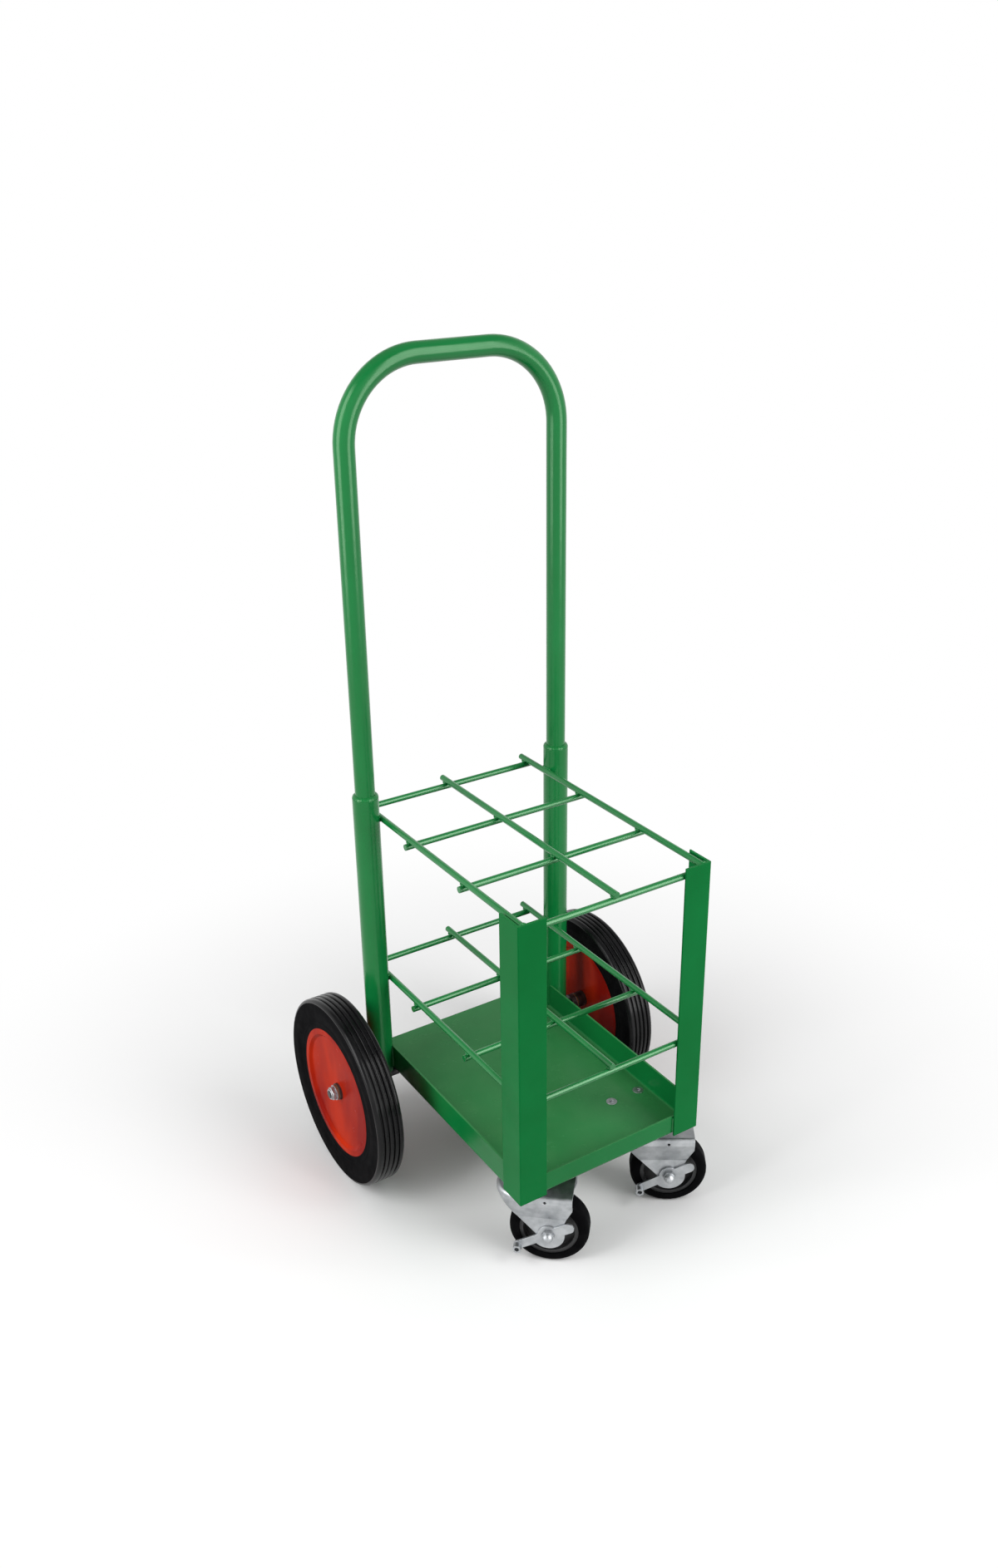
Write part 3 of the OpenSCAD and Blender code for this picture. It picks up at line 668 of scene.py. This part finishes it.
def nut_outline(flat, height, bore, collar=0, collar_r=0):
    """The outline of a bevelled nut, for turned(); a collar of its own radius may stand on top."""
    bevel = flat * NUT_BEVEL
    top = height - collar

    def outline(angle):
        reach = hexagon(flat, angle)
        drop = (reach - bevel) * math.tan(NUT_CONE)
        points = [(bore, 0), (bevel, 0), (reach, drop), (reach, top - drop), (bevel, top)]
        if collar:
            points += [(collar_r + NUT_EASE, top), (collar_r, top + NUT_EASE)]
            points += [(collar_r, height - NUT_EASE), (collar_r - NUT_EASE, height)]
        return points + [(bore + NUT_EASE, height), (bore, height - NUT_EASE)]
    return outline


print("reach of a hexagon's corner against its flat:", round(hexagon(1, 0), 3))

# %% Axle nuts
THREAD_R = 5 * MM
COLLAR_R = 7.4 * MM
COLLAR_H = 2 * MM
AXLE_NUT_TURNS = 96

low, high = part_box("axle_nuts")
seat_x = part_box("axle_washers")[1].x
axle_nut = nut_outline((high.y - low.y) / 2, high.x - seat_x, THREAD_R, COLLAR_H, COLLAR_R)
shell = bmesh.new()
for end in (-1, 1):
    seat = Vector((end * seat_x, (low.y + high.y) / 2, (low.z + high.z) / 2))
    place = Matrix.Translation(seat) @ Matrix.Rotation(end * math.pi / 2, 4, "Y")
    turned(shell, axle_nut, place, AXLE_NUT_TURNS)
finished("axle_lock_nuts", shell, "frame", "zinc", "axle_nuts")

# %% [markdown]
# Each caster hangs from the tray on four countersunk screws, flush with the floor so that nothing
# rocks on them, with a socket for a hexagon key. Below the plate sits a plain nut, and a little of the
# screw stands out of it. A thread would be hidden in the nut, so the shank is smooth. The places aren't
# written down again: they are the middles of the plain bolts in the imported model.

# %% Outline of a caster screw
SCREW_R = 4 * MM
HEAD_R = 7.4 * MM
KEY_FLAT = 2.5 * MM
KEY_DEEP = 2.3 * MM
SCREW_EASE = 0.3 * MM

bolts_low, bolts_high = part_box("caster_bolts")
screw_long = bolts_high.z - bolts_low.z


def screw_outline(angle):
    """From the bottom of the key socket over the head and down the shank to its tip."""
    key = hexagon(KEY_FLAT, angle)
    socket = [(0, -KEY_DEEP), (key, -KEY_DEEP), (key, -SCREW_EASE), (key + SCREW_EASE, 0)]
    head = [(HEAD_R - SCREW_EASE, 0), (HEAD_R, -SCREW_EASE), (SCREW_R, SCREW_R - HEAD_R - SCREW_EASE)]
    shank = [(SCREW_R, 2 * SCREW_EASE - screw_long)]
    tip = [(SCREW_R - 2 * SCREW_EASE, -screw_long), (0, -screw_long)]
    return socket + head + shank + tip


print("screw length in millimetres:", round(screw_long / MM, 1))

# %% Caster screws
PLATE_T = 3 * MM
NUT_H = 6 * MM
NUT_FLAT = 1.8 * SCREW_R * math.cos(math.pi / 6)
NUT_BITE = 0.05 * MM
SCREW_TURNS = 48

nut_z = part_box("tray")[0].z - PLATE_T - NUT_H
caster_nut = nut_outline(NUT_FLAT, NUT_H, SCREW_R - NUT_BITE)
corners = [vertex.co for vertex in nodes["caster_bolts"].data.vertices]
joints = {joint["name"]: joint for joint in frame["joints"]}


def bolt_middle(pivot, side_x, side_y):
    """The middle of the plain bolt that stands to the given sides of a caster's swivel axis."""
    near = [p for p in corners if p.x * pivot.x > 0]
    near = [p for p in near if (p.x - pivot.x) * side_x > 0 and (p.y - pivot.y) * side_y > 0]
    return [(min(p[k] for p in near) + max(p[k] for p in near)) / 2 for k in (0, 1)]


shell = bmesh.new()
for hand in ("left", "right"):
    pivot = Vector(joints[hand + "_caster_swivel"]["pos_m"])
    for side_x, side_y in ((-1, -1), (-1, 1), (1, -1), (1, 1)):
        x, y = bolt_middle(pivot, side_x, side_y)
        turned(shell, screw_outline, Matrix.Translation((x, y, bolts_high.z)), SCREW_TURNS, loop=False)
        turned(shell, caster_nut, Matrix.Translation((x, y, nut_z)), SCREW_TURNS)
finished("caster_screws", shell, "frame", "zinc", "caster_bolts")

# %% [markdown]
# The welder joins the frame with short runs. A run of weld is a row of round puddles that froze one
# after the other, so its surface ripples, and it is thinner where it starts and ends. A smooth bent
# tube with bump on it would look right only from afar. Here a run is a ring of points carried along a
# path, with a radius that swells and shrinks. Half of it lies inside the steel, as a real weld does.

# %% Helpers for welds
PUDDLE = 2.4 * MM
PUDDLE_STEPS = 5
FEWEST_STEPS = 6
RUN_SIDES = 10
RIPPLE = 0.10
THIN_END = 0.4
GROWS_BY = 0.2
SKEW = Vector((0.31, 0.52, 0.8))


def shares(length):
    """Even steps from 0 to 1 along a run of weld, a few to each puddle."""
    count = max(FEWEST_STEPS, round(length / PUDDLE * PUDDLE_STEPS))
    return [k / count for k in range(count + 1)]


def weld_run(shell, path, radius):
    """A rippled run of weld along a list of points; no run may follow the skew direction."""
    rings = []
    last = len(path) - 1
    for k, point in enumerate(path):
        along = (path[min(k + 1, last)] - path[max(k - 1, 0)]).normalized()
        across = along.cross(SKEW).normalized()
        beyond = along.cross(across)
        ripple = 1 + RIPPLE * math.sin(2 * math.pi * k / PUDDLE_STEPS)
        swell = radius * ripple * min(1, THIN_END + GROWS_BY * min(k, last - k))
        angles = [2 * math.pi * s / RUN_SIDES for s in range(RUN_SIDES)]
        round_it = [point + swell * (across * math.cos(a) + beyond * math.sin(a)) for a in angles]
        rings.append([shell.verts.new(corner) for corner in round_it])
    for ring, following in zip(rings, rings[1:]):
        for s in range(RUN_SIDES):
            shell.faces.new((ring[s - 1], ring[s], following[s], following[s - 1]))
    shell.faces.new(rings[0])
    shell.faces.new(rings[-1])


# %% [markdown]
# In each grid the long rods lie on the cross rods, and a saddle of weld sits on both sides of every
# crossing. The outer long rods also touch the sockets, where a run lies above and below the rod, and
# they butt against the posts, where a run goes around the end. The rods' places are read from the
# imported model, so the welds follow when a cell gets another size.

# %% Places of the rods and sockets
BETWEEN_BARS = 20 * MM
DIGITS = 5


def bars(name, axis):
    """The middles of a node's parallel bars, in order along an axis."""
    values = sorted({round(vertex.co[axis], DIGITS) for vertex in nodes[name].data.vertices})
    groups = [[values[0]]]
    for value in values[1:]:
        if value - groups[-1][-1] > BETWEEN_BARS:
            groups.append([])
        groups[-1].append(value)
    return [(group[0] + group[-1]) / 2 for group in groups]


pipe_low, pipe_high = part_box("left_socket")
pipe_r = (pipe_high.y - pipe_low.y) / 2
pipe_x = pipe_low.x + pipe_r
pipe_y = (pipe_low.y + pipe_high.y) / 2
print("socket radius in millimetres:", round(pipe_r / MM, 2))

# %% Paths of the welds on the rods
# Half the length of a saddle, and its way out and down from the long rod, in rod radii
SADDLE_REACH = 0.9
SADDLE_OUT = 0.85
SADDLE_FLARE = 0.10
SADDLE_DOWN = 0.80
SADDLE_RISE = 0.35
PIPE_RUN = 16 * MM


def saddle(x, y, z, r, side):
    """Beside the crossing of two rods of radius r; lowest in the middle and wider at the ends."""
    path = []
    for share in shares(2 * SADDLE_REACH * r):
        t = 2 * share - 1
        out = r * (SADDLE_OUT + SADDLE_FLARE * t * t)
        down = r * (SADDLE_DOWN - SADDLE_RISE * t * t)
        path.append(Vector((x + side * out, y + SADDLE_REACH * r * t, z - down)))
    return path


def beside_pipe(x, z, r, above):
    """Along the corner above or below a long rod, where it touches a socket."""
    path = []
    for share in shares(PIPE_RUN):
        y = PIPE_RUN * (share - 0.5)
        wall = abs(pipe_x) - math.sqrt(pipe_r ** 2 - y ** 2)
        up = math.sqrt(r ** 2 - (wall - abs(x)) ** 2)
        path.append(Vector((math.copysign(wall, x), pipe_y + y, z + above * up)))
    return path


def around_end(x, y, z, r):
    """Around the front end of a long rod, where it meets a post."""
    angles = [2 * math.pi * share for share in shares(2 * math.pi * r)]
    return [Vector((x + r * math.cos(a), y, z + r * math.sin(a))) for a in angles]


print("steps of a run beside a socket:", len(shares(PIPE_RUN)))

# %% Welds of the two grids
# Radii of the runs, and how far in from its end a rod has its last one, in rod radii
SADDLE_THICK = 0.38
PIPE_RUN_THICK = 0.42
END_RUN_THICK = 0.36
END_IN = 0.2

shell = bmesh.new()
crossings = 0
for level in ("upper", "lower"):
    low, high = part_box(level + "_long_rods")
    rod_r = (high.z - low.z) / 2
    rod_z = (high.z + low.z) / 2
    long_x = bars(level + "_long_rods", 0)
    for x in long_x:
        for y in bars(level + "_cross_rods", 1):
            for side in (-1, 1):
                weld_run(shell, saddle(x, y, rod_z, rod_r, side), SADDLE_THICK * rod_r)
            crossings += 1
    for x in (long_x[0], long_x[-1]):
        for above in (-1, 1):
            weld_run(shell, beside_pipe(x, rod_z, rod_r, above), PIPE_RUN_THICK * rod_r)
        weld_run(shell, around_end(x, low.y + END_IN * rod_r, rod_z, rod_r), END_RUN_THICK * rod_r)
finished("rod_welds", shell, "frame", "green_paint")
print("rods cross at", crossings, "places")

# %% [markdown]
# The posts and the sockets stand against the tray's lips, and upright runs hold them there. A post
# has one run on the front lip and one on the side lip, and a socket has one on each side, where its
# round wall meets the lip. The left side is laid out and the right one is its mirror image.

# %% Welds of posts and sockets to the tray
BEAD_R = 1.7 * MM
FRONT_LIP = 29 * MM
ABOVE_FOLD = 5 * MM
BELOW_RIM = 2 * MM

tray_low, tray_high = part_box("tray")
post_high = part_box("front_left_post")[1]
side_lip = tray_high.z - tray_low.z
chord = math.sqrt(pipe_r ** 2 - (abs(pipe_x) - tray_high.x) ** 2)
seams = [
    (post_high.x, tray_low.y, FRONT_LIP),
    (tray_low.x, post_high.y, side_lip),
    (tray_low.x, pipe_y - chord, side_lip),
    (tray_low.x, pipe_y + chord, side_lip),
]


def up_the_seam(x, y, lip):
    """Straight up a lip of a given height, from above its fold to below its rim."""
    rise = lip - ABOVE_FOLD - BELOW_RIM
    return [Vector((x, y, tray_low.z + ABOVE_FOLD + share * rise)) for share in shares(lip)]


shell = bmesh.new()
for mirror in (1, -1):
    for x, y, lip in seams:
        weld_run(shell, up_the_seam(mirror * x, y, lip), BEAD_R)
finished("tray_welds", shell, "frame", "green_paint")

# %% [markdown]
# Around the mouth of each socket one bead holds the handle's leg. It closes on itself, so it has no
# thin ends, and it is turned instead of carried along a path: a quarter round in the corner of tube
# and pipe, whose radius drops a little within each puddle and jumps back at the next.

# %% Welds around the mouths of the sockets
MOUTH_PUDDLES = 32
MOUTH_DIP = 0.07
MOUTH_TURNS = 176
SUNK = 0.3 * MM

low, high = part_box("socket_welds")
bead = high.z - low.z
corner_r = pipe_r - bead


def mouth_outline(angle):
    """A quarter round on the pipe's end, with its back sunk into the tube and the pipe."""
    puddle = bead * (1 - MOUTH_DIP * (MOUTH_PUDDLES / 2 * angle / math.pi % 1))
    back = [(corner_r - SUNK, -SUNK), (corner_r - SUNK, puddle)]
    face = [(corner_r + puddle * math.sin(a), puddle * math.cos(a)) for a in QUARTER_TURN]
    return back + face + [(pipe_r - 2 * SUNK, -SUNK)]


shell = bmesh.new()
for side in (-1, 1):
    turned(shell, mouth_outline, Matrix.Translation((side * pipe_x, pipe_y, low.z)), MOUTH_TURNS)
finished("socket_mouth_welds", shell, "frame", "green_paint", "socket_welds")
